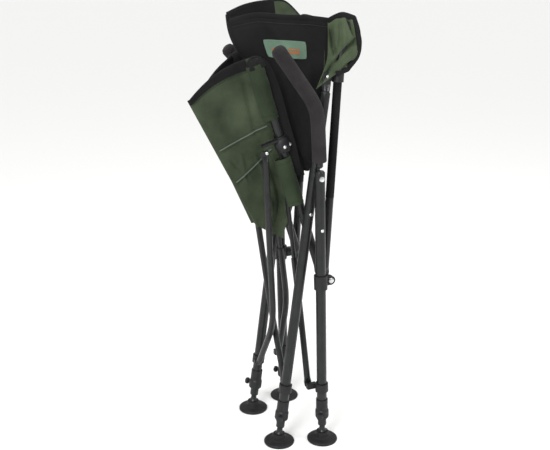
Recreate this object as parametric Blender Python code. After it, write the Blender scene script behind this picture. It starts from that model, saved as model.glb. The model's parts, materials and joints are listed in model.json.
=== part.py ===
"""Folding blind chair, folded and standing on its four ball feet.

Metres, +Z up. The chair faces -Y, its left side is +X, and the origin is on the
floor under the middle of the bundle. Each side is a scissor of a front leg and a
rear leg. The backrest upright and the seat rail share one pin on the rear leg.
"""
import bpy
import bmesh
from math import acos, asin, atan2, cos, degrees, pi, radians, sin
from mathutils import Matrix, Vector

# ---- driving dimensions, metres and degrees --------------------------------
GAP = 0.0003                 # clearance between touching pieces
SIDES = 16                   # facets round a main tube
THIN_SIDES = 12              # facets round a thin tube

REAR_X = 0.124               # plane of the rear legs and the armrests
FRONT_X = 0.092              # plane of the front legs
UPRIGHT_X = 0.088            # plane of the backrest uprights
RAIL_X = 0.064               # plane of the seat rails
BRACE_X = 0.0425             # plane of the rear braces beside the rails

LEG_R = 0.0125
LEG_WALL = 0.0012
EXTENSION_R = LEG_R - LEG_WALL - GAP
UPRIGHT_R = 0.0100
RAIL_R = 0.0105
STRUT_R = 0.0080
ROD_R = 0.0056
ARM_R = 0.0095
FOAM_R = 0.0170

BALL_R = 0.0115
BALL_Z = 0.0210
FOOT_R = 0.0390
FRONT_FOOT_Y = 0.0090
REAR_FOOT_Y = 0.1173
SCISSOR = Vector((0.0, 0.0982, 0.7000))      # where front and rear leg cross
FRONT_TOP = 0.2338           # length of front leg above the scissor
REAR_TOP = 0.0180            # length of rear leg above the scissor
PIN = Vector((0.0, 0.1330, 0.4390))          # shared pin of upright and rail
UPRIGHT_OFFSET = 0.0300      # from the front leg's top rivet to the upright
UPRIGHT_BEND = 0.520         # from the pin to the bend of the upright
UPRIGHT_TOP = 0.098          # from the bend to the top
UPRIGHT_BEND_ANGLE = 9.0
RAIL_LENGTH = 0.566
RAIL_ANGLE = 17.5            # lean of the folded rail, forward from upright
HUB_AT = 0.351               # from the pin to the strut hub on the rail
HUB_BOLT = 0.046             # from the rail's axis to the front strut's bolt
HUB_TAB_AT = 0.0155          # from the bolt up to the hub's tab, clear of the strut's eye
HUB_TAB = 0.0055
BRACKET_AT = 0.130           # from a ball to the strut bracket on its leg
STRUT_CLEAR = 0.0070         # room beside a front strut's end, as it also swings sideways
BRACE_CLEAR = 0.0060         # room beside the lower end of a rear brace
STRUT_STAGGER = 0.0115       # half the distance between the crossing struts
LEG_TRAVEL = 0.100           # travel of each telescopic leg
CLAMP_LENGTH = 0.052

OPEN_FRONT = 21.0            # lean of the front legs when the chair is open
OPEN_RAIL = 82.0             # lean of the seat rails when the chair is open

ARM_PIVOT = 0.0330           # above the scissor
ARM_BEND = Vector((0.0, 0.0890, 0.8660))
ARM_TIP = Vector((0.0, -0.0130, 1.0040))
ARM_LEAN = {1: 0.0, -1: 6.5}    # the right arm rests a little further forward

SEAT_EDGE_X = 0.0335         # where the folded seat leaves its rails
SEAT_FOLD_X = 0.0190         # the two forward folds of the seat
SEAT_FOLD_FRONT = Vector((0.0, -0.1780, 0.8800))
SEAT_FOLD_REAR = Vector((0.0, -0.0300, 0.5750))
SEAT_REAR_AT = 0.190         # from the pin to the rear edge of the seat
SEAT_MIDDLE_DEPTH = 0.050    # from the rails to the middle seam, folded
SEAT_SAG = 0.035             # how far the open seat hangs below its rails
BACK_CREASE_TOP = Vector((0.006, -0.0720, 1.0750))
BACK_CREASE_LOW = Vector((0.006, -0.0500, 0.9700))
BACK_SAG = 0.030             # how far the open backrest lies behind its uprights

BLACK_PAINT = ("black_powder_coat", (0.030, 0.032, 0.036), 0.42, 0.35)
BLACK_NYLON = ("black_moulded_nylon", (0.022, 0.023, 0.025), 0.55, 0.0)
BLACK_FOAM = ("black_foam", (0.030, 0.029, 0.031), 0.95, 0.0)
GREEN_CLOTH = ("green_polyester", (0.080, 0.115, 0.070), 0.85, 0.0)
BLACK_CLOTH = ("black_padded_cloth", (0.016, 0.016, 0.018), 0.90, 0.0)
WEBBING = ("black_webbing", (0.020, 0.020, 0.021), 0.85, 0.0)
STEEL = ("zinc_plated_steel", (0.72, 0.73, 0.74), 0.30, 1.0)


# ---- linkage ---------------------------------------------------------------
def lean(angle):
    """Unit vector in the side plane, leaning forward from upright by degrees."""
    return Vector((0.0, -sin(radians(angle)), cos(radians(angle))))


def angle_of(vector):
    """Forward lean of a vector in the side plane, in degrees."""
    return degrees(atan2(-vector.y, vector.z))


def at(side, x, point):
    """The point of the side plane at distance x from the middle."""
    return Vector((side * x, point.y, point.z))


FRONT_BALL = Vector((0.0, FRONT_FOOT_Y, BALL_Z))
REAR_BALL = Vector((0.0, REAR_FOOT_Y, BALL_Z))
FRONT_LEG = SCISSOR - FRONT_BALL
REAR_LEG = SCISSOR - REAR_BALL
FRONT_DIR = FRONT_LEG.normalized()
REAR_DIR = REAR_LEG.normalized()
FRONT_RIVET = SCISSOR + FRONT_DIR * FRONT_TOP

# Turns from folded to open. Both feet of a side stay on the floor.
OPEN_REAR = degrees(acos(FRONT_LEG.length * cos(radians(OPEN_FRONT)) / REAR_LEG.length))
TURN_REAR = OPEN_REAR - angle_of(REAR_DIR)
TURN_FRONT = -OPEN_FRONT - angle_of(FRONT_DIR)
TURN_RAIL = OPEN_RAIL - RAIL_ANGLE


def turned(vector, angle):
    """The vector after a turn in the side plane, forward positive, in degrees."""
    return Matrix.Rotation(radians(angle), 3, 'X') @ vector


OPEN_SCISSOR = REAR_BALL + turned(REAR_LEG, TURN_REAR)
OPEN_PIN = OPEN_SCISSOR + turned(PIN - SCISSOR, TURN_REAR)
OPEN_FRONT_RIVET = OPEN_SCISSOR + turned(FRONT_RIVET - SCISSOR, TURN_FRONT)


def upright_line(pin, rivet):
    """Lean of the upright past the rivet, and the rivet's place along it."""
    reach = rivet - pin
    offset = asin(UPRIGHT_OFFSET / reach.length)
    return angle_of(reach) - degrees(offset), reach.length * cos(offset)


UPRIGHT_ANGLE, SLIDER_AT = upright_line(PIN, FRONT_RIVET)
OPEN_UPRIGHT_ANGLE, OPEN_SLIDER_AT = upright_line(OPEN_PIN, OPEN_FRONT_RIVET)
TURN_UPRIGHT = OPEN_UPRIGHT_ANGLE - UPRIGHT_ANGLE
SLIDER_TRAVEL = OPEN_SLIDER_AT - SLIDER_AT
UPRIGHT_DIR = lean(UPRIGHT_ANGLE)
UPRIGHT_TOP_DIR = lean(UPRIGHT_ANGLE - UPRIGHT_BEND_ANGLE)
UPRIGHT_KNEE = PIN + UPRIGHT_DIR * UPRIGHT_BEND
UPRIGHT_END = UPRIGHT_KNEE + UPRIGHT_TOP_DIR * UPRIGHT_TOP

RAIL_DIR = lean(RAIL_ANGLE)
RAIL_FRONT = lean(RAIL_ANGLE + 90.0)          # square to the rail, towards the front
RAIL_END = PIN + RAIL_DIR * RAIL_LENGTH
HUB = PIN + RAIL_DIR * HUB_AT
HUB_BOLT_POINT = HUB + RAIL_FRONT * HUB_BOLT
OPEN_HUB_BOLT = OPEN_PIN + turned(HUB_BOLT_POINT - PIN, TURN_RAIL)
OPEN_HUB = OPEN_PIN + turned(HUB - PIN, TURN_RAIL)

FRONT_STRUT_X = 0.062        # strut end at its foot bracket
HUB_STRUT_X = 0.074          # strut end at the hub of the other side
FRONT_BRACKET = FRONT_BALL + FRONT_DIR * BRACKET_AT
REAR_BRACKET = REAR_BALL + REAR_DIR * BRACKET_AT
OPEN_FRONT_BRACKET = OPEN_SCISSOR + turned(FRONT_BRACKET - SCISSOR, TURN_FRONT)
BRACE_END = REAR_BRACKET + Vector((0.0, -0.026, 0.0))
BRACE_END_X = 0.096
OPEN_BRACE_END = REAR_BALL + turned(BRACE_END - REAR_BALL, TURN_REAR)

# The crossing front struts keep their length, which sets how wide the chair opens.
STRUT_RISE = (HUB_BOLT_POINT - FRONT_BRACKET).length_squared
OPEN_STRUT_RISE = (OPEN_HUB_BOLT - OPEN_FRONT_BRACKET).length_squared
FOLDED_REACH = FRONT_STRUT_X + HUB_STRUT_X
SPREAD = (FOLDED_REACH ** 2 + STRUT_RISE - OPEN_STRUT_RISE) ** 0.5 - FOLDED_REACH


# ---- mesh tools --------------------------------------------------------------
def material(spec):
    name, colour, roughness, metallic = spec
    made = bpy.data.materials.get(name)
    if made:
        return made
    made = bpy.data.materials.new(name)
    made.use_nodes = True
    shader = made.node_tree.nodes["Principled BSDF"]
    shader.inputs["Base Color"].default_value = (*colour, 1.0)
    shader.inputs["Roughness"].default_value = roughness
    shader.inputs["Metallic"].default_value = metallic
    return made


def finish(name, bm, spec, origin, smooth=True):
    """Make the object with its origin at the given world point."""
    bmesh.ops.recalc_face_normals(bm, faces=bm.faces)
    bmesh.ops.translate(bm, verts=bm.verts, vec=-origin)
    mesh = bpy.data.meshes.new(name)
    bm.to_mesh(mesh)
    bm.free()
    if smooth:
        mesh.shade_smooth()
        mesh.set_sharp_from_angle(angle=radians(35))
    mesh.materials.append(material(spec))
    made = bpy.data.objects.new(name, mesh)
    made.location = origin
    bpy.context.scene.collection.objects.link(made)
    return made


def frame_along(direction, first):
    """Two unit vectors square to the direction, the first as near as can be to first."""
    across = first - direction * first.dot(direction)
    across.normalize()
    return across, direction.cross(across)


def rings(bm, sections, closed):
    """Skin a list of vertex rings; a one-vertex ring is a pole."""
    pairs = list(zip(sections, sections[1:]))
    if closed:
        pairs.append((sections[-1], sections[0]))
    for low, high in pairs:
        count = max(len(low), len(high))
        for i in range(count):
            j = (i + 1) % count
            corners = []
            for vert in (low[i % len(low)], low[j % len(low)],
                         high[j % len(high)], high[i % len(high)]):
                if vert not in corners:
                    corners.append(vert)
            bm.faces.new(corners)
    return bm


def lathe(profile, base, direction, sides=SIDES):
    """Turn (radius, height) points about the axis; an open ring profile closes on itself."""
    bm = bmesh.new()
    first = Vector((1.0, 0.0, 0.0)) if abs(direction.x) < 0.9 else Vector((0.0, 1.0, 0.0))
    across, third = frame_along(direction, first)
    sections = []
    for radius, height in profile:
        centre = base + direction * height
        if radius < 1e-7:
            sections.append([bm.verts.new(centre)])
            continue
        turn = [2.0 * pi * i / sides for i in range(sides)]
        sections.append([bm.verts.new(centre + (across * cos(a) + third * sin(a)) * radius)
                         for a in turn])
    return rings(bm, sections, closed=profile[0][0] > 1e-7)


def sweep(points, radii, sides=SIDES):
    """Tube through points; each radius pair is (along X, square to X and the path)."""
    bm = bmesh.new()
    side_axis = Vector((1.0, 0.0, 0.0))
    sections = []
    for i, point in enumerate(points):
        ahead = points[min(i + 1, len(points) - 1)] - points[max(i - 1, 0)]
        across, third = frame_along(ahead.normalized(), side_axis)
        wide, deep = radii[i]
        sections.append([bm.verts.new(point + across * wide * cos(a) + third * deep * sin(a))
                         for a in (2.0 * pi * k / sides for k in range(sides))])
    rings(bm, sections, closed=False)
    bm.faces.new(sections[0])
    bm.faces.new(sections[-1])
    return bm


def bend(start, knee, end, radius, steps=6):
    """Points from start to end with a round corner at the knee."""
    inward = (start - knee).normalized()
    outward = (end - knee).normalized()
    first = knee + inward * radius
    last = knee + outward * radius
    arc = []
    for i in range(steps + 1):
        t = i / steps
        arc.append(first * (1 - t) ** 2 + knee * 2 * t * (1 - t) + last * t ** 2)
    return [start] + arc + [end]


def eye_tube(points, radius, eye, flat=0.0022, ends=(True, True)):
    """Tube whose flattened ends carry a rivet; eye is the length of each flat."""
    path, radii = list(points), [(radius, radius)] * len(points)
    if ends[0]:
        ahead = (path[1] - path[0]).normalized()
        path[0:1] = [path[0] - ahead * eye * 0.45, path[0] + ahead * eye * 0.6, path[0] + ahead * eye * 1.5]
        radii[0:1] = [(flat, radius * 1.1), (flat, radius * 1.3), (radius, radius)]
    if ends[1]:
        back = (path[-2] - path[-1]).normalized()
        tip = path[-1]
        path[-1:] = [tip + back * eye * 1.5, tip + back * eye * 0.6, tip - back * eye * 0.45]
        radii[-1:] = [(radius, radius), (flat, radius * 1.3), (flat, radius * 1.1)]
    return path, radii


def box(bm, centre, size, direction=Vector((0.0, 0.0, 1.0))):
    """Block of size (x, square, along) with its last axis along the direction."""
    across, third = frame_along(direction, Vector((1.0, 0.0, 0.0)))
    turn = Matrix((across, third, direction)).transposed().to_4x4()
    place = Matrix.Translation(centre) @ turn @ Matrix.Diagonal((*size, 1.0))
    bmesh.ops.create_cube(bm, size=1.0, matrix=place)
    return bm


def prism(outline, side, x_low, x_high):
    """Outline of side-plane points, extruded between two distances from the middle."""
    bm = bmesh.new()
    low = [bm.verts.new(at(side, x_low, p)) for p in outline]
    high = [bm.verts.new(at(side, x_high, p)) for p in outline]
    rings(bm, [low, high], closed=False)
    bm.faces.new(low)
    bm.faces.new(high)
    return bm


def cutter(name, bm, origin=Vector((0.0, 0.0, 0.0))):
    made = finish(name, bm, STEEL, origin, smooth=False)
    made.hide_render = True
    made.display_type = 'WIRE'
    return made


def boolean(target, tool, operation='DIFFERENCE'):
    step = target.modifiers.new(tool.name, 'BOOLEAN')
    step.operation = operation
    step.object = tool
    return target


def pin_cutter(name, side, point, radius, x_low, x_high):
    """Round bar along X, used to bore pin holes."""
    base = at(side, x_low, point)
    bar = lathe([(0.0, 0.0), (radius, 0.0), (radius, x_high - x_low), (0.0, x_high - x_low)],
                base, Vector((side, 0.0, 0.0)), THIN_SIDES)
    return cutter(name, bar)


PIN_R = 0.0030
EAR_PIN_R = 0.0032


# ---- legs and feet -------------------------------------------------------------
def leg(name, side, x, ball, direction, top_length):
    """Outer tube, extension, clamp with knob, ball, and mud foot of one leg."""
    foot_end = at(side, x, ball)
    bottom, top = 0.060, top_length
    bore_top = bottom + 0.24
    tube = lathe([(0.0, bore_top), (LEG_R - LEG_WALL, bore_top), (LEG_R - LEG_WALL, bottom),
                  (LEG_R, bottom), (LEG_R, top - 0.004), (LEG_R - 0.003, top), (0.0, top)],
                 foot_end, direction)
    tube = finish(name + "_tube", tube, BLACK_PAINT, foot_end)

    ball = [(0.0, -BALL_R)]
    ball += [(BALL_R * sin(pi * i / 8), -BALL_R * cos(pi * i / 8)) for i in range(1, 7)]
    neck = ball[-1][1]
    rod = [(ball[-1][0] * 0.85, neck + 0.010), (EXTENSION_R, neck + 0.014),
           (EXTENSION_R, bottom + 0.16), (0.0, bottom + 0.16)]
    finish(name + "_extension", lathe(ball + rod, foot_end, direction), BLACK_PAINT, foot_end)
    mud_foot(name, foot_end)
    clamp(name, side, foot_end, direction, bottom)


def mud_foot(name, centre):
    """Round foot with a raised socket that holds the ball."""
    floor = Vector((centre.x, centre.y, 0.0))
    bore = BALL_R + GAP
    cup = [(0.0, BALL_Z - bore)]
    cup += [(bore * sin(a), BALL_Z - bore * cos(a)) for a in (pi * i / 8 for i in range(1, 5))]
    lip = BALL_Z + 0.003
    profile = cup + [(bore, lip), (bore + 0.0035, lip), (bore + 0.0050, 0.0125), (0.0240, 0.0090),
                     (FOOT_R - 0.003, 0.0060), (FOOT_R, 0.0035), (FOOT_R, 0.0), (0.0, 0.0)]
    finish(name + "_foot", lathe(profile, floor, Vector((0.0, 0.0, 1.0)), 28), BLACK_NYLON,
           Vector(centre))


def clamp(name, side, foot_end, direction, bottom):
    """Sleeve at the lower end of the tube, and the wing knob that locks the extension."""
    outer, low, high = LEG_R + 0.0048, bottom - 0.016, bottom - 0.016 + CLAMP_LENGTH
    inside = LEG_R + GAP
    sleeve = lathe([(EXTENSION_R + GAP, bottom - GAP), (EXTENSION_R + GAP, low), (outer - 0.001, low),
                    (outer, low + 0.002), (outer, low + 0.020), (outer - 0.0022, low + 0.024),
                    (outer - 0.0022, high), (inside, high), (inside, bottom - GAP)],
                   foot_end, direction)
    finish(name + "_clamp", sleeve, BLACK_NYLON, foot_end)
    out = Vector((side * 0.80, -0.60, 0.0)).normalized()
    start = foot_end + direction * (low + 0.012) + out * (outer + GAP)
    knob = lathe([(0.0, 0.0), (0.0040, 0.0), (0.0040, 0.004), (0.0082, 0.005), (0.0090, 0.008),
                  (0.0082, 0.012), (0.0, 0.012)], start, out, THIN_SIDES)
    finish(name + "_knob", knob, BLACK_NYLON, start)


def strut_bracket(name, side, x, centre, direction, lug):
    """Ring clamped on the leg, with a block towards the strut's end."""
    middle = at(side, x, centre)
    ring = lathe([(LEG_R + GAP, -0.011), (LEG_R + 0.0040, -0.011), (LEG_R + 0.0040, 0.011),
                  (LEG_R + GAP, 0.011)], middle, direction)
    made = finish(name + "_bracket", ring, BLACK_NYLON, middle)
    beside = abs(lug.y - middle.y) < LEG_R
    x_high, x_low = x - (LEG_R + 0.0010 if beside else 0.0100), abs(lug.x)
    y_near = middle.y - (0.0 if beside else 0.0100)
    y_low, y_high = min(lug.y - 0.008, y_near), max(lug.y + 0.008, y_near)
    block = box(bmesh.new(), Vector((side * (x_low + x_high) / 2, (y_low + y_high) / 2, lug.z)),
                (x_high - x_low, y_high - y_low, 0.014))
    return boolean(made, cutter(name + "_lug_shape", block), 'UNION')


def build_legs(side, word):
    front_end = FRONT_LEG.length + FRONT_TOP
    front_foot = at(side, FRONT_X, FRONT_BALL)
    leg(word + "_front", side, FRONT_X, FRONT_BALL, FRONT_DIR, front_end - 0.034)
    leg(word + "_rear", side, REAR_X, REAR_BALL, REAR_DIR, REAR_LEG.length + REAR_TOP)
    hole = pin_cutter(word + "_scissor_bore", side, SCISSOR, PIN_R + GAP, FRONT_X - 0.030, REAR_X + 0.030)
    boolean(bpy.data.objects[word + "_front_tube"], hole)
    boolean(bpy.data.objects[word + "_rear_tube"], hole)
    flat_top(word, side, front_foot + FRONT_DIR * (front_end - 0.040))
    rivet(word + "_scissor_rivet", side, SCISSOR, PIN_R, FRONT_X - LEG_R, REAR_X + LEG_R)
    lug = front_strut_end(side) + Vector((side * STRUT_CLEAR, 0.0, 0.0))
    strut_bracket(word + "_front", side, FRONT_X, FRONT_BRACKET, FRONT_DIR, lug)
    lug = at(side, BRACE_END_X + BRACE_CLEAR, BRACE_END)
    strut_bracket(word + "_rear", side, REAR_X, REAR_BRACKET, REAR_DIR, lug)


def flat_top(word, side, start):
    """Flattened tip of the front leg that is riveted to the sliding bracket."""
    path = [start + FRONT_DIR * reach for reach in (0.0, 0.008, 0.022, 0.050)]
    radii = [(LEG_R - 0.002, LEG_R - 0.002), (LEG_R - 0.002, LEG_R - 0.002), (0.0022, 0.0120), (0.0022, 0.0100)]
    tip = cutter(word + "_front_tip_shape", sweep(path, radii))
    boolean(bpy.data.objects[word + "_front_tube"], tip, 'UNION')


def rivet(name, side, point, radius, x_low, x_high):
    """Rivet with a domed outer head and a flat inner head."""
    length = x_high - x_low
    head, dome = radius * 2.3, radius * 0.9
    profile = [(0.0, -0.0018), (head * 0.9, -0.0018), (head * 0.9, -GAP), (radius, -GAP),
               (radius, length + GAP), (head, length + GAP), (head * 0.85, length + GAP + dome * 0.7),
               (head * 0.4, length + GAP + dome), (0.0, length + GAP + dome)]
    base = at(side, x_low, point)
    finish(name, lathe(profile, base, Vector((side, 0.0, 0.0)), THIN_SIDES), STEEL, at(side, x_low, point))


# ---- pin collar, upright, rail, hub ---------------------------------------------
def pin_collar(side, word):
    """Collar on the rear leg with an ear behind it; one long rivet holds upright and rail."""
    along = (PIN - REAR_BALL).dot(REAR_DIR)
    middle = at(side, REAR_X, REAR_BALL + REAR_DIR * along)
    ring = lathe([(LEG_R + GAP, -0.018), (LEG_R + 0.0040, -0.018), (LEG_R + 0.0045, 0.018),
                  (LEG_R + GAP, 0.018)], middle, REAR_DIR)
    made = finish(word + "_pin_collar", ring, BLACK_NYLON, middle)
    reach = (PIN - (REAR_BALL + REAR_DIR * along)).length
    centre = PIN - Vector((0.0, 1.0, 0.0)) * 0.0
    half = 0.0115
    outline = [Vector((0.0, centre.y - reach + LEG_R + 0.0015, centre.z - half))]
    outline += [Vector((0.0, centre.y + half * sin(a), centre.z - half * cos(a)))
                for a in (pi * i / 8 for i in range(9))]
    outline.append(Vector((0.0, centre.y - reach + LEG_R + 0.0015, centre.z + half)))
    ear = cutter(word + "_ear_shape", prism(outline, side, REAR_X - 0.0115, REAR_X + 0.0020))
    boolean(made, ear, 'UNION')
    bore = pin_cutter(word + "_ear_bore", side, PIN, EAR_PIN_R + GAP, RAIL_X - 0.030, REAR_X + 0.020)
    boolean(made, bore)
    rivet(word + "_ear_pin", side, PIN, EAR_PIN_R, RAIL_X - 0.0035, REAR_X + 0.0020)
    return bore


def upright(side, word, bore):
    pin, knee, end = (at(side, UPRIGHT_X, p) for p in (PIN, UPRIGHT_KNEE, UPRIGHT_END))
    points = bend(pin, knee, end, 0.030, 4)
    path, radii = eye_tube(points, UPRIGHT_R, 0.016, ends=(True, False))
    boolean(finish(word + "_upright", sweep(path, radii), BLACK_PAINT, pin), bore)


def rail(side, word, bore):
    pin, end = at(side, RAIL_X, PIN), at(side, RAIL_X, RAIL_END)
    path, radii = eye_tube([pin, (pin + end) / 2, end], RAIL_R, 0.016, ends=(True, False))
    boolean(finish(word + "_seat_rail", sweep(path, radii), BLACK_PAINT, pin), bore)


def hub(side, word):
    """Moulded block on the rail; its nose carries the front strut, its inner face the brace."""
    middle = at(side, RAIL_X, HUB)
    ring = lathe([(RAIL_R + GAP, -0.017), (RAIL_R + 0.0042, -0.017), (RAIL_R + 0.0048, 0.0),
                  (RAIL_R + 0.0042, 0.024), (RAIL_R + GAP, 0.024)], middle, RAIL_DIR)
    made = finish(word + "_strut_hub", ring, BLACK_NYLON, middle)
    x_low, x_high = RAIL_X, HUB_STRUT_X + 0.0045
    near, far = RAIL_R + 0.0020, HUB_BOLT + 0.005
    tab_middle = HUB + RAIL_FRONT * (near + far) / 2 + RAIL_DIR * (HUB_TAB_AT + HUB_TAB / 2)
    tab = box(bmesh.new(), at(side, (x_low + x_high) / 2, tab_middle),
              (x_high - x_low, far - near, HUB_TAB), RAIL_DIR)
    return boolean(made, cutter(word + "_hub_tab_shape", tab), 'UNION')


def sliding_bracket(side, word):
    """Moulded bracket that slides on the upright and holds the front leg's top."""
    middle = at(side, UPRIGHT_X, PIN + UPRIGHT_DIR * SLIDER_AT)
    ring = lathe([(UPRIGHT_R + GAP * 2, -0.012), (UPRIGHT_R + 0.0042, -0.012),
                  (UPRIGHT_R + 0.0042, 0.012), (UPRIGHT_R + GAP * 2, 0.012)], middle, UPRIGHT_DIR)
    made = finish(word + "_sliding_bracket", ring, BLACK_NYLON, middle)
    front = lean(UPRIGHT_ANGLE + 90.0)
    arm = box(bmesh.new(), middle + front * (UPRIGHT_R + 0.0135) - Vector((side * 0.0035, 0, 0)),
              (0.0085, 0.023, 0.020), UPRIGHT_DIR)
    return boolean(made, cutter(word + "_slider_arm_shape", arm), 'UNION')


# ---- struts ----------------------------------------------------------------------
def front_strut_end(side):
    """Strut end at the foot bracket; the two crossing struts are staggered fore and aft."""
    point = at(side, FRONT_STRUT_X, FRONT_BRACKET)
    return point + Vector((0.0, side * STRUT_STAGGER, 0.0))


def front_strut_top(side):
    point = at(-side, HUB_STRUT_X, HUB_BOLT_POINT)
    return point + Vector((0.0, side * STRUT_STAGGER * 0.35, 0.0))


def front_strut(side, word):
    """Strut from this side's front foot bracket to the other side's hub."""
    low, high = front_strut_end(side), front_strut_top(side)
    knee = Vector((-side * 0.034, low.y + 0.004, 0.305))
    points = bend(low, knee, high, 0.060, 6)
    path, radii = eye_tube(points, STRUT_R, 0.012, flat=0.0026)
    finish(word + "_front_strut", sweep(path, radii, THIN_SIDES), BLACK_PAINT, low)


BRACE_KNEE = Vector((0.0, 0.0890, 0.3300))
BRACE_TOP = HUB - RAIL_FRONT * 0.006
BRACE_AXIS = (at(1, BRACE_X, BRACE_TOP) - at(1, BRACE_X, BRACE_KNEE)).normalized()
BRACE_MOUTH = 0.150          # tube length above the knee
BRACE_BORE = 0.130


def rear_brace(side, word):
    """Telescopic brace from the rear foot bracket to the hub of the same side."""
    low = at(side, BRACE_END_X, BRACE_END)
    knee, top = at(side, BRACE_X, BRACE_KNEE), at(side, BRACE_X, BRACE_TOP)
    axis = (top - knee).normalized()
    mouth = knee + axis * BRACE_MOUTH
    points = bend(low, knee, mouth, 0.045, 5)
    path, radii = eye_tube(points, STRUT_R, 0.012, flat=0.0026, ends=(True, False))
    tube = finish(word + "_rear_brace_tube", sweep(path, radii, THIN_SIDES), BLACK_PAINT, low)
    bar = lathe([(0.0, -BRACE_BORE), (ROD_R + GAP * 2, -BRACE_BORE), (ROD_R + GAP * 2, 0.02), (0.0, 0.02)],
                mouth, axis, THIN_SIDES)
    boolean(tube, cutter(word + "_brace_bore", bar))
    start = mouth - axis * 0.020
    path, radii = eye_tube([start, (start + top) / 2, top], ROD_R, 0.010, ends=(False, True))
    finish(word + "_rear_brace_rod", sweep(path, radii, THIN_SIDES), BLACK_PAINT, mouth)


# ---- armrests ---------------------------------------------------------------------
ARM_START = SCISSOR + REAR_DIR * ARM_PIVOT


def armrest(side, word):
    """Bent arm tube that turns on top of the rear leg, in a foam grip."""
    bent = [ARM_START + turned(p - ARM_START, ARM_LEAN[side]) for p in (ARM_START, ARM_BEND, ARM_TIP)]
    pivot, knee, tip = (at(side, REAR_X, p) for p in bent)
    points = bend(pivot, knee, tip, 0.035, 6)
    ahead, back = (points[1] - points[0]).normalized(), (points[-1] - points[-2]).normalized()
    tube_path = [pivot - ahead * 0.0085, pivot - ahead * 0.005] + points[1:-1] + [tip - back * 0.010]
    radii = [(0.0045, 0.0045), (0.0080, 0.0080)] + [(ARM_R, ARM_R)] * (len(tube_path) - 2)
    tube = finish(word + "_arm_tube", sweep(tube_path, radii), BLACK_PAINT, pivot)
    start = pivot + ahead * 0.006
    foam_path = [start, start + ahead * 0.002] + points[1:-1]
    foam_path += [tip - back * 0.010, tip - back * 0.003, tip]
    foam_radii = [(FOAM_R - 0.002,) * 2] + [(FOAM_R,) * 2] * (len(foam_path) - 4)
    foam_radii += [(FOAM_R,) * 2, (FOAM_R * 0.80,) * 2, (FOAM_R * 0.45,) * 2]
    foam = finish(word + "_foam_grip", sweep(foam_path, foam_radii), BLACK_FOAM, pivot)
    core_path = [pivot - ahead * 0.030] + tube_path[2:-1] + [tip - back * (0.010 - GAP)]
    core = cutter(word + "_foam_core", sweep(core_path, [(ARM_R + GAP,) * 2] * len(core_path)))
    boolean(foam, core)
    return tube


# ---- fabric -----------------------------------------------------------------------
CLOTH = 0.0050


def sheet(name, corners, spec, origin, thickness=CLOTH, across=6, down=4, bow=0.0):
    """Thin closed panel through four corners, bowed towards +X of the panel by bow."""
    bm = bmesh.new()
    a, b, c, d = corners
    normal = (b - a).cross(d - a).normalized()
    layers = []
    for offset in (-thickness / 2, thickness / 2):
        grid = []
        for i in range(across + 1):
            u = i / across
            row = []
            for j in range(down + 1):
                v = j / down
                point = (a * (1 - u) + b * u) * (1 - v) + (d * (1 - u) + c * u) * v
                point = point + normal * (offset + bow * sin(pi * u) * sin(pi * (0.15 + 0.7 * v)))
                row.append(bm.verts.new(point))
            grid.append(row)
        layers.append(grid)
    for grid in layers:
        for i in range(across):
            for j in range(down):
                bm.faces.new((grid[i][j], grid[i + 1][j], grid[i + 1][j + 1], grid[i][j + 1]))
    rim = [(i, 0) for i in range(across)] + [(across, j) for j in range(down)]
    rim += [(i, down) for i in range(across, 0, -1)] + [(0, j) for j in range(down, 0, -1)]
    for k, (i, j) in enumerate(rim):
        m, n = rim[(k + 1) % len(rim)]
        bm.faces.new((layers[0][i][j], layers[0][m][n], layers[1][m][n], layers[1][i][j]))
    return finish(name, bm, spec, origin)


RAIL_EDGE_FRONT = RAIL_END - RAIL_DIR * 0.004 + RAIL_FRONT * 0.008
RAIL_EDGE_REAR = PIN + RAIL_DIR * SEAT_REAR_AT + RAIL_FRONT * 0.008


def middle_of(edge, fold):
    """Point of the folded middle seam, between a rail and a fold."""
    return edge + (fold - edge).normalized() * SEAT_MIDDLE_DEPTH


def seat(side, word):
    """Half of the seat: out from its rail to a fold, then back in to the middle seam."""
    origin = at(side, RAIL_X, PIN)
    edges = [at(side, SEAT_EDGE_X, p) for p in (RAIL_EDGE_FRONT, RAIL_EDGE_REAR)]
    outer = [at(side, SEAT_FOLD_X + 0.0030, p) for p in (SEAT_FOLD_FRONT, SEAT_FOLD_REAR)]
    inner = [at(side, SEAT_FOLD_X - 0.0030, p) for p in (SEAT_FOLD_FRONT, SEAT_FOLD_REAR)]
    middles = [at(side, 0.0050, middle_of(e, f))
               for e, f in ((RAIL_EDGE_FRONT, SEAT_FOLD_FRONT), (RAIL_EDGE_REAR, SEAT_FOLD_REAR))]
    sheet(word + "_seat_outer", (edges[0], outer[0], outer[1], edges[1]), GREEN_CLOTH, origin)
    sheet(word + "_seat_inner", (middles[0], inner[0], inner[1], middles[1]), GREEN_CLOTH, origin)
    fold_out = (SEAT_FOLD_FRONT - RAIL_EDGE_FRONT).normalized()
    strip(word + "_seat_fold_tape", side, SEAT_FOLD_X, SEAT_FOLD_FRONT, SEAT_FOLD_REAR, fold_out)
    strip(word + "_seat_middle_tape", side, 0.0022, middle_of(RAIL_EDGE_FRONT, SEAT_FOLD_FRONT),
          middle_of(RAIL_EDGE_REAR, SEAT_FOLD_REAR), -fold_out)


def strip(name, side, x, high, low, out, width=0.012, thick=0.0030):
    """Sewn tape along a fold, standing off the cloth's edge."""
    bm = bmesh.new()
    start, end = high + out * 0.0045, low + out * 0.0045
    corners = [bm.verts.new((side * (x + across), (base + out * reach).y, (base + out * reach).z))
               for base in (start, end) for across in (-thick / 2, thick / 2)
               for reach in (0.0, width)]
    for face in ((0, 1, 3, 2), (4, 5, 7, 6), (0, 1, 5, 4), (2, 3, 7, 6), (0, 2, 6, 4), (1, 3, 7, 5)):
        bm.faces.new([corners[i] for i in face])
    return finish(name, bm, WEBBING, Vector((0.0, start.y, start.z)), smooth=False)


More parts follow.
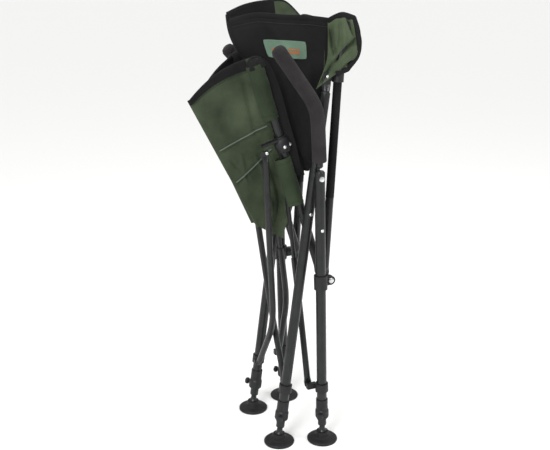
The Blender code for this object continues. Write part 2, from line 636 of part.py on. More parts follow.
def backrest(side, word):
    """One half of the backrest, from its upright to the crease."""
    inner = UPRIGHT_X - UPRIGHT_R - 0.006
    top = at(side, inner, UPRIGHT_END - UPRIGHT_TOP_DIR * 0.004)
    low = at(side, inner, UPRIGHT_KNEE - UPRIGHT_DIR * 0.010)
    crease_top = at(side, BACK_CREASE_TOP.x, BACK_CREASE_TOP)
    crease_low = at(side, BACK_CREASE_LOW.x, BACK_CREASE_LOW)
    sheet(word + "_back_half", (top, crease_top, crease_low, low), BLACK_CLOTH, at(side, UPRIGHT_X, PIN))
    strip(word + "_back_fold_tape", side, 0.0022, crease_top, crease_low, Vector((0.0, -1.0, 0.0)))


def build_side(side, word):
    build_legs(side, word)
    bore = pin_collar(side, word)
    upright(side, word, bore)
    rail(side, word, bore)
    hub(side, word)
    sliding_bracket(side, word)
    front_strut(side, word)
    rear_brace(side, word)
    armrest(side, word)
    seat(side, word)
    backrest(side, word)


for old in list(bpy.data.objects):
    bpy.data.objects.remove(old, do_unlink=True)
for side_sign, side_word in ((1, "left"), (-1, "right")):
    build_side(side_sign, side_word)
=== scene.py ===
"""Looks of the folding blind chair: cloth, bindings, rivets, materials, light and camera.

Metres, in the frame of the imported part: +X is the chair's left, -Y its front.
"""
import json
from functools import lru_cache
from math import asin, cos, exp, pi, radians, sin, sqrt

import bpy
import bmesh
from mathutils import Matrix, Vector, noise


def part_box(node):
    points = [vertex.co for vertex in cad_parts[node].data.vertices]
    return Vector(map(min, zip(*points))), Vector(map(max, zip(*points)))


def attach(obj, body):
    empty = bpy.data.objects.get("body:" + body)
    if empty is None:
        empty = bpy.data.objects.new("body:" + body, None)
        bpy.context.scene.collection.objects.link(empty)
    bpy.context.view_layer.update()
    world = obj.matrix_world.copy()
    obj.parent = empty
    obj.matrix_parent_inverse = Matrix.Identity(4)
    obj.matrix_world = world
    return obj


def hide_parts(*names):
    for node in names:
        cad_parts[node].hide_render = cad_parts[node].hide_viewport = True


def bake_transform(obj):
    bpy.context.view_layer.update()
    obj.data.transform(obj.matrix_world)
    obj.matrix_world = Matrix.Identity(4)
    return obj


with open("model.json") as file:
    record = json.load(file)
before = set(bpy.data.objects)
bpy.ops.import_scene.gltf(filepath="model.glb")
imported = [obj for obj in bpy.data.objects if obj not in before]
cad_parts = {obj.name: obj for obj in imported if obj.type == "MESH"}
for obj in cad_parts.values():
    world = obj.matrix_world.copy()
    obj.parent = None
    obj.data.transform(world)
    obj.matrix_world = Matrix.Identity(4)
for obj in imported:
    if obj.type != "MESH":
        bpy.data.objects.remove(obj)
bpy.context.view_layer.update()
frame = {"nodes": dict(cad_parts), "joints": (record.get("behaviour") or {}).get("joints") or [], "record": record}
JOINTS = {joint["name"]: joint for joint in frame["joints"]}
SIDES = ((1, "left"), (-1, "right"))

# ---- sizes, metres -----------------------------------------------------------
CLOTH_THICK = 0.0013
PAD_THICK = 0.0070
STITCH_LENGTH = 0.0042
THREAD_R = 0.0005
RIVET_R, RIVET_HIGH = 0.0042, 0.0026
RIBBON_SIDES = 10
HUB_AT = 0.351               # from the pin to the strut hub along the rail
HUB_BOLT = 0.046             # from the rail's axis to the strut's bolt
STRUT_TOP_X = 0.074          # side plane of a strut's upper end
TOP_BAND = 0.008             # vertices this near a tube's top belong to its end


# ---- places taken from the frame -------------------------------------------------
def joint_point(name):
    """The pivot of a joint."""
    return Vector(JOINTS[name]["pos_m"])


def top_of(node):
    """Middle of a tube's upper end."""
    verts = [v.co for v in frame["nodes"][node].data.vertices]
    height = max(v.z for v in verts)
    near = [v for v in verts if v.z > height - TOP_BAND]
    return sum(near, Vector()) / len(near)


PIN = joint_point("left_seat_rail_fold")
RAIL_X = PIN.x
RAIL_DIR = (top_of("left_seat_rail") - PIN).normalized()
RAIL_OUT = Vector((0.0, -RAIL_DIR.z, RAIL_DIR.y))       # square to the rail, forward
UPRIGHT_R = 0.0100
UPRIGHT_SLEEVE = (0.2020, 0.5000)           # its ends, measured up from the upright's pin


def by_rail(side, x, along, out):
    """Point at distance x from the middle, along the rail and forward of it."""
    point = PIN + RAIL_DIR * along + RAIL_OUT * out
    return Vector((side * x, point.y, point.z))


def smooth(t):
    t = min(max(t, 0.0), 1.0)
    return t * t * (3.0 - 2.0 * t)


def unsmooth(share):
    """The place between start and end where a blend has this share."""
    share = min(max(share, 0.0), 1.0)
    return 0.5 - sin(asin(1.0 - 2.0 * share) / 3.0)


def along_curve(points, t):
    """Smooth curve through evenly numbered points, at t from 0 to 1."""
    place = min(max(t, 0.0), 1.0) * (len(points) - 1)
    i = min(int(place), len(points) - 2)
    f = place - i
    before, start = points[max(i - 1, 0)], points[i]
    end, after = points[i + 1], points[min(i + 2, len(points) - 1)]
    square = 2.0 * before - 5.0 * start + 4.0 * end - after
    cube = 3.0 * start - before - 3.0 * end + after
    return 0.5 * ((2.0 * start) + (end - before) * f + square * f * f + cube * f ** 3)


# ---- materials -----------------------------------------------------------------
CLOTH_SPECULAR = 0.12
SLUB_SHADES = (0.72, 1.16)   # darkest and lightest thread against the cloth's own shade


def new_material(name, colour, roughness, metallic=0.0, specular=0.5):
    """Plain material with the same values all over."""
    made = bpy.data.materials.new(name)
    made.use_nodes = True
    shader = shader_of(made)
    shader.inputs["Base Color"].default_value = (*colour, 1.0)
    shader.inputs["Roughness"].default_value = roughness
    shader.inputs["Metallic"].default_value = metallic
    shader.inputs["Specular IOR Level"].default_value = specular
    return made


def shader_of(material):
    return material.node_tree.nodes["Principled BSDF"]


def node(material, kind, **values):
    """New shader node; each value goes to an input of that name, or to the node itself."""
    made = material.node_tree.nodes.new(kind)
    for key, value in values.items():
        if key in made.inputs:
            made.inputs[key].default_value = value
        else:
            setattr(made, key, value)
    return made


def link(material, start, end):
    material.node_tree.links.new(start, end)


def place_nodes(material, turn=(0.0, 0.0, 0.0)):
    """Object coordinates, turned so that a weave follows the cloth."""
    where = node(material, "ShaderNodeTexCoord")
    mapping = node(material, "ShaderNodeMapping", Rotation=turn)
    link(material, where.outputs["Object"], mapping.inputs["Vector"])
    return mapping.outputs["Vector"]


def vary(material, place, low, high, scale, detail=4.0, spread=(0.35, 0.65)):
    """Colour that drifts between two shades over the surface."""
    grain = node(material, "ShaderNodeTexNoise", Scale=scale, Detail=detail)
    ramp = node(material, "ShaderNodeValToRGB")
    ramp.color_ramp.elements[0].position = spread[0]
    ramp.color_ramp.elements[1].position = spread[1]
    ramp.color_ramp.elements[0].color = (*low, 1.0)
    ramp.color_ramp.elements[1].color = (*high, 1.0)
    link(material, place, grain.inputs["Vector"])
    link(material, grain.outputs["Fac"], ramp.inputs["Fac"])
    return ramp.outputs["Color"]


def roughen(material, place, low, high, scale):
    """Roughness that drifts between two values over the surface."""
    grain = node(material, "ShaderNodeTexNoise", Scale=scale, Detail=5.0)
    spread = node(material, "ShaderNodeMapRange")
    spread.inputs["To Min"].default_value = low
    spread.inputs["To Max"].default_value = high
    link(material, place, grain.inputs["Vector"])
    link(material, grain.outputs["Fac"], spread.inputs["Value"])
    link(material, spread.outputs["Result"], shader_of(material).inputs["Roughness"])


def bump(material, height, distance, strength=0.6):
    made = node(material, "ShaderNodeBump", Strength=strength, Distance=distance)
    link(material, height, made.inputs["Height"])
    link(material, made.outputs["Normal"], shader_of(material).inputs["Normal"])


def woven(name, low, high, threads, roughness, turn, sheen=0.06):
    """Plain weave: two sets of threads crossing, with slubs and faded patches."""
    made = new_material(name, high, roughness)
    shader = shader_of(made)
    shader.inputs["Sheen Weight"].default_value = sheen
    shader.inputs["Sheen Roughness"].default_value = 0.4
    shader.inputs["Specular IOR Level"].default_value = CLOTH_SPECULAR
    place = place_nodes(made, turn)
    warp = node(made, "ShaderNodeTexWave", bands_direction='Y', Scale=threads, Distortion=0.6, Detail=2.0)
    weft = node(made, "ShaderNodeTexWave", bands_direction='Z', Scale=threads, Distortion=0.6, Detail=2.0)
    both = node(made, "ShaderNodeMath", operation='MAXIMUM')
    link(made, place, warp.inputs["Vector"])
    link(made, place, weft.inputs["Vector"])
    link(made, warp.outputs["Fac"], both.inputs[0])
    link(made, weft.outputs["Fac"], both.inputs[1])
    patches = vary(made, place, low, high, 9.0)
    slubs = node(made, "ShaderNodeTexNoise", Scale=700.0, Detail=2.0)
    link(made, place, slubs.inputs["Vector"])
    shade = node(made, "ShaderNodeMapRange")
    shade.inputs["To Min"].default_value, shade.inputs["To Max"].default_value = SLUB_SHADES
    link(made, slubs.outputs["Fac"], shade.inputs["Value"])
    scaled = node(made, "ShaderNodeVectorMath", operation='SCALE')
    link(made, patches, scaled.inputs[0])
    link(made, shade.outputs["Result"], scaled.inputs["Scale"])
    link(made, scaled.outputs["Vector"], shader.inputs["Base Color"])
    bump(made, both.outputs["Value"], 0.0003, 0.5)
    return made


def powder_coat():
    made = new_material("powder_coat_black", (0.008, 0.0085, 0.0095), 0.33, specular=0.30)
    place = place_nodes(made)
    link(made, vary(made, place, (0.0055, 0.006, 0.0065), (0.0105, 0.011, 0.012), 40.0),
         shader_of(made).inputs["Base Color"])
    roughen(made, place, 0.24, 0.44, 60.0)
    peel = node(made, "ShaderNodeTexNoise", Scale=900.0, Detail=2.0)
    link(made, place, peel.inputs["Vector"])
    bump(made, peel.outputs["Fac"], 0.0002, 0.35)
    shader_of(made).inputs["Coat Weight"].default_value = 0.10
    return made


def moulded(name, colour, low, high, grain=1400.0):
    """Moulded plastic or rubber with a fine spark-eroded grain."""
    made = new_material(name, colour, high, specular=0.30)
    place = place_nodes(made)
    dark = tuple(c * 0.75 for c in colour)
    light = tuple(c * 1.3 for c in colour)
    link(made, vary(made, place, dark, light, 70.0),
         shader_of(made).inputs["Base Color"])
    roughen(made, place, low, high, 90.0)
    spark = node(made, "ShaderNodeTexNoise", Scale=grain, Detail=3.0)
    link(made, place, spark.inputs["Vector"])
    bump(made, spark.outputs["Fac"], 0.0003, 0.5)
    return made


def foam():
    made = new_material("foam_charcoal", (0.020, 0.0175, 0.019), 0.92, specular=0.15)
    place = place_nodes(made)
    link(made, vary(made, place, (0.016, 0.014, 0.015), (0.025, 0.022, 0.024), 25.0),
         shader_of(made).inputs["Base Color"])
    cells = node(made, "ShaderNodeTexVoronoi", Scale=950.0)
    link(made, place, cells.inputs["Vector"])
    bump(made, cells.outputs["Distance"], 0.0004, 0.6)
    shader_of(made).inputs["Sheen Weight"].default_value = 0.04
    return made


def plated():
    made = new_material("steel_plated", (0.70, 0.71, 0.72), 0.28, 1.0)
    place = place_nodes(made)
    roughen(made, place, 0.18, 0.42, 300.0)
    link(made, vary(made, place, (0.52, 0.53, 0.55), (0.78, 0.79, 0.80), 220.0),
         shader_of(made).inputs["Base Color"])
    return made


SEAT_TURN = (radians(17.5), 0.0, 0.0)       # the weave follows the folded seat
BACK_TURN = (radians(-5.0), 0.0, 0.0)
NO_TURN = (0.0, 0.0, 0.0)
PAINT = powder_coat()
NYLON = moulded("nylon_black", (0.010, 0.010, 0.0115), 0.38, 0.60)
FOOT_RUBBER = moulded("foot_black", (0.008, 0.008, 0.009), 0.45, 0.70, 700.0)
FOAM = foam()
STEEL = plated()
GREEN = woven("polyester_green", (0.022, 0.031, 0.018), (0.058, 0.075, 0.044), 420.0, 0.72, SEAT_TURN)
# light green of the seam strips: a painted highlight along each seam, not a colour of the cloth
SEAM_HIGHLIGHT_GREEN = woven("polyester_green_painted_highlight", (0.085, 0.105, 0.085), (0.130, 0.150, 0.125),
                   500.0, 0.60, SEAT_TURN)
# darker copy of the seat green, put on the back layer of the rail sleeves: painted shade
SHADED_GREEN = woven("polyester_green_painted_shade", (0.018, 0.027, 0.015), (0.034, 0.048, 0.026),
                   420.0, 0.75, SEAT_TURN)
GREEN_BACK = woven("polyester_green_back", (0.028, 0.040, 0.022), (0.070, 0.092, 0.052),
                   420.0, 0.70, BACK_TURN)
BLACK = woven("polyester_black", (0.0070, 0.0066, 0.0070), (0.0125, 0.0118, 0.0128),
              380.0, 0.80, SEAT_TURN, 0.02)
TAPE = woven("binding_black", (0.0050, 0.0050, 0.0055), (0.0105, 0.0105, 0.0110),
             600.0, 0.70, SEAT_TURN, 0.03)
THREAD = woven("thread_dark", (0.020, 0.024, 0.018), (0.045, 0.052, 0.040), 900.0, 0.65, NO_TURN, 0.1)
PATCH = woven("patch_green", (0.085, 0.140, 0.098), (0.125, 0.195, 0.140), 500.0, 0.60, NO_TURN)
PATCH_MARK = woven("patch_mark_orange", (0.30, 0.085, 0.030), (0.40, 0.12, 0.045), 700.0, 0.60, NO_TURN)

FINISHES = {"black_powder_coat": PAINT, "black_moulded_nylon": NYLON, "black_foam": FOAM,
            "green_polyester": GREEN, "black_padded_cloth": BLACK, "black_webbing": TAPE,
            "zinc_plated_steel": STEEL}
SLOT_OF = {finish.name: slot for slot, finish in FINISHES.items()}
SLOT_OF.update({"foot_black": "black_moulded_nylon", "thread_dark": "black_webbing"})
for green_like in (SHADED_GREEN, GREEN_BACK, SEAM_HIGHLIGHT_GREEN, PATCH, PATCH_MARK):
    SLOT_OF[green_like.name] = "green_polyester"


def finish_cad_nodes():
    """Give each kept CAD node its detailed material."""
    for part in frame["record"]["subparts"]:
        slots = frame["nodes"][part["node"]].material_slots
        for slot in slots:
            slot.material = FINISHES[part["material_slot"]]
        if part["node"].endswith("_foot"):
            slots[0].material = FOOT_RUBBER


# ---- mesh tools ------------------------------------------------------------------
def make(name, verts, faces, materials, face_slots=None):
    """Smooth-shaded object with these materials; faces use the given material indices, else the first."""
    mesh = bpy.data.meshes.new(name)
    mesh.from_pydata([tuple(v) for v in verts], [], faces)
    mesh.update()
    for material in materials:
        mesh.materials.append(material)
    if face_slots:
        mesh.polygons.foreach_set("material_index", face_slots)
    made = bpy.data.objects.new(name, mesh)
    bpy.context.scene.collection.objects.link(made)
    mesh.shade_smooth()
    mesh.set_sharp_from_angle(angle=radians(50))
    return made


def surface_normal(surface, u, v, step=0.004):
    across = surface(min(u + step, 1.0), v) - surface(max(u - step, 0.0), v)
    down = surface(u, min(v + step, 1.0)) - surface(u, max(v - step, 0.0))
    return across.cross(down).normalized()


def cloth(name, surface, counts, thickness, materials, slot_at=None, lift=None, outward=1.0):
    """Closed two-layer cloth over surface(u, v). Returns the object and each vertex's u."""
    wide, long = counts
    verts, shares = [], []
    for layer in (0.5, -0.5):
        for i in range(wide + 1):
            for j in range(long + 1):
                u, v = i / wide, j / long
                normal = surface_normal(surface, u, v) * outward
                height = lift(u, v) if lift else 0.0
                verts.append(surface(u, v) + normal * (height + layer * thickness))
                shares.append(u)
    row, size = long + 1, (wide + 1) * (long + 1)
    faces, slots = [], []
    for i in range(wide):
        for j in range(long):
            quad = (i * row + j, (i + 1) * row + j, (i + 1) * row + j + 1, i * row + j + 1)
            slot = slot_at((i + 0.5) / wide, (j + 0.5) / long) if slot_at else 0
            front, back = (quad, tuple(size + k for k in reversed(quad)))
            if outward < 0:
                front, back = tuple(reversed(front)), tuple(reversed(back))
            faces += [front, back]
            slots += [slot, slot if slot != 0 else len(materials) - 1]
    rim = [i * row for i in range(wide + 1)] + [wide * row + j for j in range(1, long + 1)]
    rim += [i * row + long for i in range(wide - 1, -1, -1)] + [j for j in range(long - 1, 0, -1)]
    for k, near in enumerate(rim):
        far = rim[(k + 1) % len(rim)]
        edge = (near, size + near, size + far, far)
        faces.append(edge if outward > 0 else tuple(reversed(edge)))
        slots.append(min(1, len(materials) - 1))
    made = make(name, verts, faces, materials, slots)
    tidy_normals(made)
    return made, shares


def tidy_normals(obj):
    bm = bmesh.new()
    bm.from_mesh(obj.data)
    bmesh.ops.recalc_face_normals(bm, faces=bm.faces)
    bm.to_mesh(obj.data)
    bm.free()


def carried(obj, shares):
    """Bake the object's transform into its mesh; every vertex keeps its place, and the shares are not stored."""
    places = [v.co.copy() for v in obj.data.vertices]
    for vert, share in zip(obj.data.vertices, shares):
        vert.co = (unsmooth(share), 0.0, 0.0)
    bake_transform(obj)
    for vert, place in zip(obj.data.vertices, places):
        vert.co = place
    obj.data.update()
    return obj


def ribbon(name, points, normals, width, thick, material):
    """Flat rounded band or cord along points; normals say which way its face looks."""
    verts, faces, sides = [], [], RIBBON_SIDES
    for i, point in enumerate(points):
        ahead = (points[min(i + 1, len(points) - 1)] - points[max(i - 1, 0)]).normalized()
        normal = (normals[i] - ahead * normals[i].dot(ahead)).normalized()
        across = ahead.cross(normal)
        for k in range(sides):
            turn = 2.0 * pi * k / sides
            square = 1.0 / max(abs(cos(turn)), abs(sin(turn))) ** 0.6
            verts.append(point + across * cos(turn) * width * 0.5 * square * 0.92
                         + normal * sin(turn) * thick * 0.5 * square * 0.92)
    for i in range(len(points) - 1):
        for k in range(sides):
            m = (k + 1) % sides
            faces.append((i * sides + k, i * sides + m, (i + 1) * sides + m, (i + 1) * sides + k))
    faces.append(tuple(range(sides)))
    faces.append(tuple(len(verts) - 1 - k for k in range(sides)))
    made = make(name, verts, faces, [material])
    tidy_normals(made)
    return made


def round_ribbon(shares):
    """Each point's share, once for every vertex of the ribbon there."""
    return [share for share in shares for _ in range(RIBBON_SIDES)]


def dome(name, centre, axis, radius, height, sides=20):
    """Rivet head: a low dome on a short shoulder."""
    axis = axis.normalized()
    first = axis.orthogonal().normalized()
    second = axis.cross(first)
    rings = [(1.0, 0.0), (1.0, 0.25), (0.90, 0.55), (0.66, 0.84), (0.34, 0.97)]
    verts = [centre + axis * (height * h) + (first * cos(a) + second * sin(a)) * radius * r
             for r, h in rings for a in (2.0 * pi * k / sides for k in range(sides))]
    faces = []
    for i in range(len(rings) - 1):
        for k in range(sides):
            near, far = i * sides, (i + 1) * sides
            faces.append((near + k, near + (k + 1) % sides, far + (k + 1) % sides, far + k))
    faces.append(tuple(reversed(range(sides))))
    verts.append(centre + axis * height)
    last = (len(rings) - 1) * sides
    faces += [(last + k, last + (k + 1) % sides, len(verts) - 1) for k in range(sides)]
    made = make(name, verts, faces, [STEEL])
    tidy_normals(made)
    return made


def stitches(name, surface, path, count, lift=0.0008, outward=1.0):
    """Row of short stitches along path(t) -> (u, v) on a surface. Returns the object and shares."""
    verts, faces, shares = [], [], []
    for k in range(count):
        ends = [path((k + part) / count) for part in (0.12, 0.88)]
        a, b = (surface(*end) for end in ends)
        if (b - a).length > 2.0 * STITCH_LENGTH:
            b = a + (b - a).normalized() * STITCH_LENGTH
        normal = surface_normal(surface, *ends[0]) * outward
        across = (b - a).cross(normal).normalized() * THREAD_R
        base = len(verts)
        for place in (a, b):
            for x, y in ((-1, 0.2), (0, 1.0), (1, 0.2), (0, -0.6)):
                verts.append(place + across * x + normal * lift * y)
                shares.append(ends[0][0])
        for i in range(4):
            j = (i + 1) % 4
            faces.append((base + i, base + j, base + 4 + j, base + 4 + i))
        faces += [(base + 3, base + 2, base + 1, base), (base + 4, base + 5, base + 6, base + 7)]
    made = make(name, verts, faces, [THREAD])
    tidy_normals(made)
    return made, shares


def ripple(point, scale, height):
    """Small even waves of the cloth."""
    return noise.noise(point * scale) * height


def ridge(u, v, start, end, width, height):
    """Height of a soft fold along the line from start to end, fading at both ends."""
    along = (end[0] - start[0], end[1] - start[1])
    length = sqrt(along[0] ** 2 + along[1] ** 2)
    t = ((u - start[0]) * along[0] + (v - start[1]) * along[1]) / length ** 2
    off = abs((u - start[0]) * along[1] - (v - start[1]) * along[0]) / length
    fade = smooth(min(t * 4.0, (1.0 - t) * 4.0)) if 0.0 < t < 1.0 else 0.0
    return height * exp(-(off / width) ** 2) * fade


# ---- seat --------------------------------------------------------------------------
FOLD_X = 0.0190              # the forward folds of the seat
FOLD_R = 0.0030
RIGHT_SET_BACK = 0.020       # the right half's front corner lies this much lower
SEAT_FRONT, SEAT_REAR = 0.570, 0.115        # the seat's rail edge, along the rail
FOLD_FRONT, FOLD_REAR = 0.520, 0.166        # its fold, along the rail
SEAMS = ((0.356, 0.388), (0.490, 0.638))    # two cross seams: share of the way back, at rail and fold
BORDER = (0.062, 0.034)      # black front border, as shares of the way back, at rail and fold
BORDER_FROM = 0.10           # the border starts beside the sleeve
HUB_HOLLOW = 0.026           # the cloth draws in this far beside the strut hub
# soft folds of the outer run: start, end, width and height
SEAT_FOLDS = (((0.16, 0.02), (0.30, 0.42), 0.050, -0.0048), ((0.42, 0.50), (0.34, 0.69), 0.030, 0.0042),
              ((0.62, 0.46), (0.80, 0.66), 0.030, 0.0030), ((0.88, 0.47), (0.66, 0.66), 0.024, -0.0028),
              ((0.20, 0.50), (0.30, 0.98), 0.045, -0.0070), ((0.10, 0.62), (0.14, 0.98), 0.035, 0.0050),
              ((0.48, 0.74), (0.40, 1.00), 0.040, 0.0040))
SLEEVES = {"front": (0.421, 0.552), "rear": (0.200, 0.322)}     # their ends along the rail
SEAM_RIDGE = (0.0020, 0.007)                # a seam's height and width
SEAM_GROOVE = (0.0022, 0.018, 0.011)        # the dip behind it: depth, distance and width
CAP_FROM, CAP_LONG = 0.543, 0.027           # the rail cap's rear edge along the rail, and its length
CAP_OUT, CAP_SIDE = 0.0225, 0.0150          # its half sizes, forward and sideways
SLEEVE_MIDDLE, SLEEVE_OUT = 0.0090, 0.0205  # the sleeve's middle forward of the rail, and its half size
MIDDLE_X = 0.0040                           # the inner run ends this far from the chair's middle
# outline of the black side band as (along the rail, forward of it), from front to rear
BAND_OUTER = ((0.5715, 0.012), (0.562, -0.008), (0.535, -0.024), (0.480, -0.0305), (0.410, -0.0300),
              (0.345, -0.0300), (0.300, -0.0285), (0.262, -0.0300))
BAND_INNER = ((0.560, 0.020), (0.548, 0.000), (0.520, -0.008), (0.475, -0.009), (0.410, -0.009),
              (0.345, -0.010), (0.300, -0.010), (0.266, -0.012))


def fold_out(along, side=1):
    """How far the fold stands forward of the rail; the right half lies a little tighter."""
    reach = 0.0755 + 0.179 * along
    return reach - (0.060 * max(along - 0.16, 0.0) if side < 0 else 0.0)


def seam_at(seam, u):
    return seam[0] + (seam[1] - seam[0]) * u


def seat_edges(v):
    """(along, out) of the seat's rail edge and of its fold, from front to rear."""
    return SEAT_FRONT + (SEAT_REAR - SEAT_FRONT) * v, FOLD_FRONT + (FOLD_REAR - FOLD_FRONT) * v


def set_back(side, v):
    """How far the fold lies further back than the left half's, from front to rear."""
    return RIGHT_SET_BACK * smooth(1.0 - v * 3.0) if side < 0 else 0.0


def seat_surface(side):
    """The seat's outer run, from the rail at u = 0 to the fold at u = 1."""
    def surface(u, v):
        rail_along, fold_along = seat_edges(v)
        rail_out = 0.006 + 0.050 * smooth((v - 0.80) / 0.20)
        bow = 0.013 * sin(pi * u) * smooth(1.0 - v * 5.0) - set_back(side, v) * u
        along = rail_along + (fold_along - rail_along) * u + bow
        out = rail_out + (fold_out(fold_along, side) - rail_out) * u
        edge_x = RAIL_X - 0.006 - 0.018 * smooth((v - 0.62) / 0.25) - 0.010 * smooth(u * 4.0)
        edge_x -= HUB_HOLLOW * exp(-((v - 0.500) / 0.085) ** 2)
        x = edge_x + (FOLD_X + FOLD_R - edge_x) * smooth(u ** 0.8)
        return by_rail(side, x, along, out)
    return surface


def seat_lift(side, surface):
    """How far the outer run stands off its smooth surface: ripples, seams and folds."""
    def lift(u, v):
        height = ripple(surface(u, v) + Vector((side * 2.0, 0.0, 0.0)), 14.0, 0.0022)
        height += ripple(surface(u, v) + Vector((side * 3.0, 0.0, 0.0)), 38.0, 0.0008)
        for seam in SEAMS:
            off = v - seam_at(seam, u)
            high, width = SEAM_RIDGE
            deep, behind, spread = SEAM_GROOVE
            height += high * exp(-(off / width) ** 2) - deep * exp(-((off - behind) / spread) ** 2)
        for fold in SEAT_FOLDS:
            height += ridge(u, v, *fold)
        return height * smooth(u * 8.0) * smooth((1.0 - u) * 10.0)
    return lift


def seat_half(side, word):
    """One half of the folded seat, with its seams, border, sleeves and side band."""
    surface = seat_surface(side)
    lift = seat_lift(side, surface)
    made, shares = cloth(word + "_seat_cloth_outer", surface, (44, 90), CLOTH_THICK,
                         [GREEN, TAPE, GREEN], None, lift, outward=side)
    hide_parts(word + "_seat_outer")
    carried(made, shares)

    def lifted(u, v):
        return surface(u, v) + surface_normal(surface, u, v) * side * (lift(u, v) + CLOTH_THICK * 0.6)

    rows = {"front_hem": lambda t: (0.02 + 0.95 * t, 0.006 + seam_at(BORDER, 0.02 + 0.95 * t)),
            "front_seam": lambda t: (0.03 + 0.94 * t, seam_at(SEAMS[0], 0.03 + 0.94 * t) - 0.012),
            "rear_seam": lambda t: (0.10 + 0.87 * t, seam_at(SEAMS[1], 0.10 + 0.87 * t) - 0.012)}
    for row, path in rows.items():
        thread, where = stitches(f"{word}_{row}_thread", lifted, path, 30, outward=side)
        carried(thread, where)
    # each seam gets a raised strip; its shape is real, its light green is a painted highlight
    for k, seam in enumerate(SEAMS):
        shares = [0.08 + 0.88 * j / 30 for j in range(31)]
        points = [lifted(u, seam_at(seam, u)) for u in shares]
        normals = [surface_normal(surface, u, seam_at(seam, u)) * side for u in shares]
        seam_highlight_strip = ribbon(f"{word}_seat_seam_{k + 1}", points, normals, 0.0034, 0.0016, SEAM_HIGHLIGHT_GREEN)
        carried(seam_highlight_strip, round_ribbon(shares))
    seat_border(side, word, surface, lift)
    seat_inner(side, word)
    seat_fold_roll(side, word)
    rail_sleeves(side, word)
    rail_cap(side, word)
    side_trim(side, word)


def seat_border(side, word, surface, lift):
    """Black binding folded over the front edge of the seat."""
    def wrapped(u, v):
        u = BORDER_FROM + (1.0 - BORDER_FROM) * u
        place = seam_at(BORDER, u) * abs(1.0 - 2.0 * v)
        face = 1.0 if v > 0.5 else -1.0
        bulge = smooth(abs(1.0 - 2.0 * v) * 6.0)
        where = surface(u, max(place - 0.004, 0.0))
        normal = surface_normal(surface, u, place) * side
        return where + normal * (lift(u, place) + face * bulge * (CLOTH_THICK * 0.5 + 0.0016))

    made, shares = cloth(word + "_seat_front_border", wrapped, (50, 24), 0.0016, [TAPE, TAPE, TAPE],
                         None, None, outward=-side)
    carried(made,
            [BORDER_FROM + (1.0 - BORDER_FROM) * share for share in shares])


def rail_cap(side, word):
    """Black pocket corner sewn over the rail's front tip."""
    def surface(u, v):
        turn = 2.0 * pi * u
        lean_back = pi / 2.0 * v
        out = 0.0060 + (CAP_OUT * cos(turn)) * cos(lean_back) ** 0.8
        x = RAIL_X - 0.001 + CAP_SIDE * sin(turn) * cos(lean_back) ** 0.8
        along = CAP_FROM + CAP_LONG * sin(lean_back)
        return by_rail(side, x, along, out)

    def lift(u, v):
        return ripple(surface(u, min(v, 0.96)), 45.0, 0.0012)

    made, _ = cloth(word + "_rail_cap", surface, (36, 14), CLOTH_THICK, [TAPE, TAPE, TAPE], None, lift,
                    outward=-side)
    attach(made, word + "_seat_rail")


def seat_inner(side, word):
    """Inner run of the folded seat, from the fold back to the middle seam."""
    def surface(u, v):
        rail_along, fold_along = seat_edges(v)
        fold_along -= set_back(side, v)
        along = fold_along + (rail_along - fold_along) * 0.55 * u - 0.010 * u * (1.0 - v)
        reach = fold_out(fold_along, side)
        out = reach + (0.050 - reach) * u
        x = FOLD_X - FOLD_R + (MIDDLE_X - FOLD_X + FOLD_R) * u
        return by_rail(side, x, along, out)

    def lift(u, v):
        return ripple(surface(u, v), 20.0, 0.0016) * smooth(u * 6.0) * smooth((1.0 - u) * 6.0)

    made, shares = cloth(word + "_seat_cloth_inner", surface, (24, 60), CLOTH_THICK,
                         [GREEN, TAPE, GREEN], lambda u, v: 1 if v < BORDER[1] else 0, lift, outward=side)
    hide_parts(word + "_seat_inner")
    carried(made, shares)
    points = [surface(1.0, k / 30) for k in range(31)]
    seam = ribbon(word + "_seat_middle_seam", points, [Vector((side, 0.0, 0.0))] * 31, 0.010, 0.0022, TAPE)
    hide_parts(word + "_seat_middle_tape")
    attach(seam, word + "_seat_middle")


def seat_fold_roll(side, word):
    """The rounded turn of the cloth at its fold."""
    def surface(u, v):
        fold_along = seat_edges(v)[1] - set_back(side, v)
        turn = pi * u
        x = FOLD_X + FOLD_R * cos(turn)
        out = fold_out(fold_along, side) + FOLD_R * sin(turn)
        return by_rail(side, x, fold_along, out)

    made, _ = cloth(word + "_seat_fold_roll", surface, (8, 60), CLOTH_THICK,
                    [GREEN, TAPE, GREEN], lambda u, v: 1 if v < BORDER[1] else 0, None, outward=side)
    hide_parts(word + "_seat_fold_tape")
    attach(made, word + "_seat_fold")


def sleeve_surface(side, start, end):
    """Pocket sewn round the rail, flattened towards the seat."""
    def surface(u, v):
        turn = 2.0 * pi * u
        along = start + (end - start) * v
        sag = 1.0 + 0.05 * sin(v * 9.0 + 1.0)
        out = SLEEVE_MIDDLE + SLEEVE_OUT * cos(turn)
        x = RAIL_X + (0.0155 - 0.0045 * smooth((cos(turn) + 0.2) / 1.2)) * sin(turn) * sag
        return by_rail(side, x, along, out)
    return surface


def rail_sleeves(side, word):
    """The pockets that hold the seat on its rail, in front of the strut hub and behind it."""
    for place, (start, end) in SLEEVES.items():
        surface = sleeve_surface(side, start, end)

        def lift(u, v, surface=surface):
            height = ripple(surface(u, v), 60.0, 0.0008) + ripple(surface(u, v), 25.0, 0.0009)
            hem = 0.0007 * exp(-((v - 0.05) / 0.02) ** 2)
            return height + hem + 0.0004

        # the sleeve's back layer takes the darker green, which is painted shade
        made, _ = cloth(f"{word}_{place}_sleeve", surface, (40, 36), CLOTH_THICK,
                        [GREEN, GREEN, SHADED_GREEN], None, lift, outward=-side)
        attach(made, word + "_seat_rail")
        for row in (0.09, 0.91):
            thread, _ = stitches(f"{word}_{place}_sleeve_thread_{int(row * 100)}", surface,
                                 lambda t, row=row: (0.02 + 0.46 * t, row), 12, lift=0.0016, outward=-side)
            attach(thread, word + "_seat_rail")


